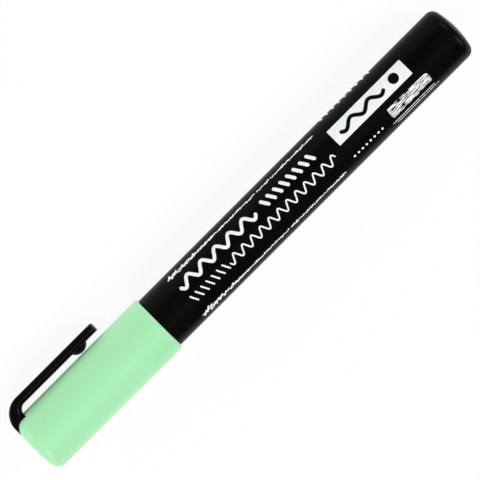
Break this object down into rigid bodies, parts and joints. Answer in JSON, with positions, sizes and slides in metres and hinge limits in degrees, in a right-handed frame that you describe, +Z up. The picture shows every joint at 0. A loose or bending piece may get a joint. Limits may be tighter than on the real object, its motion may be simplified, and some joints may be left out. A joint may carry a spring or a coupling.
{
  "type": "liquid chalk marker",
  "caption": "Capped valve-action chalk marker: plain tube barrel with a domed end, drafted cap with a bent clip, push-in nib on a sprung valve, and a loose mixing ball.",
  "frame": {"origin": "on the marker's axis, halfway along the bare barrel between the cap's rim and the crown of the rear end", "axes": "+X along the marker's axis towards the writing tip and the cap's closed end; +Z up as the marker lies on a table; the clip points to -Y and 22.1 degrees down, where its edge meets the table"},
  "size_m": [0.14, 0.0198, 0.0156],
  "materials": {
    "barrel_plastic": "satin black moulded plastic with white print",
    "section_plastic": "black moulded plastic",
    "nib_fibre": "pressed white fibre",
    "seat_rubber": "soft pale rubber",
    "valve_plastic": "natural white moulded plastic",
    "spring_steel": "drawn stainless wire",
    "ball_steel": "polished stainless",
    "cap_plastic": "satin mint green moulded plastic",
    "liner_plastic": "natural translucent white moulded plastic",
    "clip_plastic": "glossy black moulded plastic"
  },
  "bodies": {
    "holder": {"barrel": "barrel_plastic", "section": "section_plastic", "valve_seat": "seat_rubber", "valve_cage": "valve_plastic", "valve_spring": "spring_steel"},
    "cap": {"cap_shell": "cap_plastic", "inner_cap": "liner_plastic"},
    "clip": {"clip": "clip_plastic"},
    "nib": {"nib": "nib_fibre"},
    "valve": {"valve_stem": "valve_plastic"},
    "ball": {"mixing_ball": "ball_steel"}
  },
  "joints": [
    {"name": "cap_pull", "type": "slide", "parent": "holder", "child": "cap", "axis": [1, 0, 0], "range_m": [0, 0.045]},
    {"name": "clip_flex", "type": "hinge", "parent": "cap", "child": "clip", "pos_m": [0.09027, -0.00417, -0.0017], "axis": [0, -0.377, 0.9262], "range_deg": [0, 4], "stiffness_Nm_per_rad": 0.8},
    {"name": "nib_press", "type": "slide", "parent": "holder", "child": "nib", "axis": [-1, 0, 0], "range_m": [0, 0.0025], "stiffness_N_per_m": 400, "springref_m": -0.002},
    {"name": "valve_travel", "type": "slide", "parent": "holder", "child": "valve", "axis": [-1, 0, 0], "range_m": [0, 0.0025], "deforming": ["valve_spring"]},
    {"name": "ball_roll", "type": "slide", "parent": "holder", "child": "ball", "axis": [1, 0, 0], "range_m": [0, 0.0715]}
  ],
  "couplings": [
    {"joint": "valve_travel", "follows": "nib_press", "ratio": 1}
  ]
}
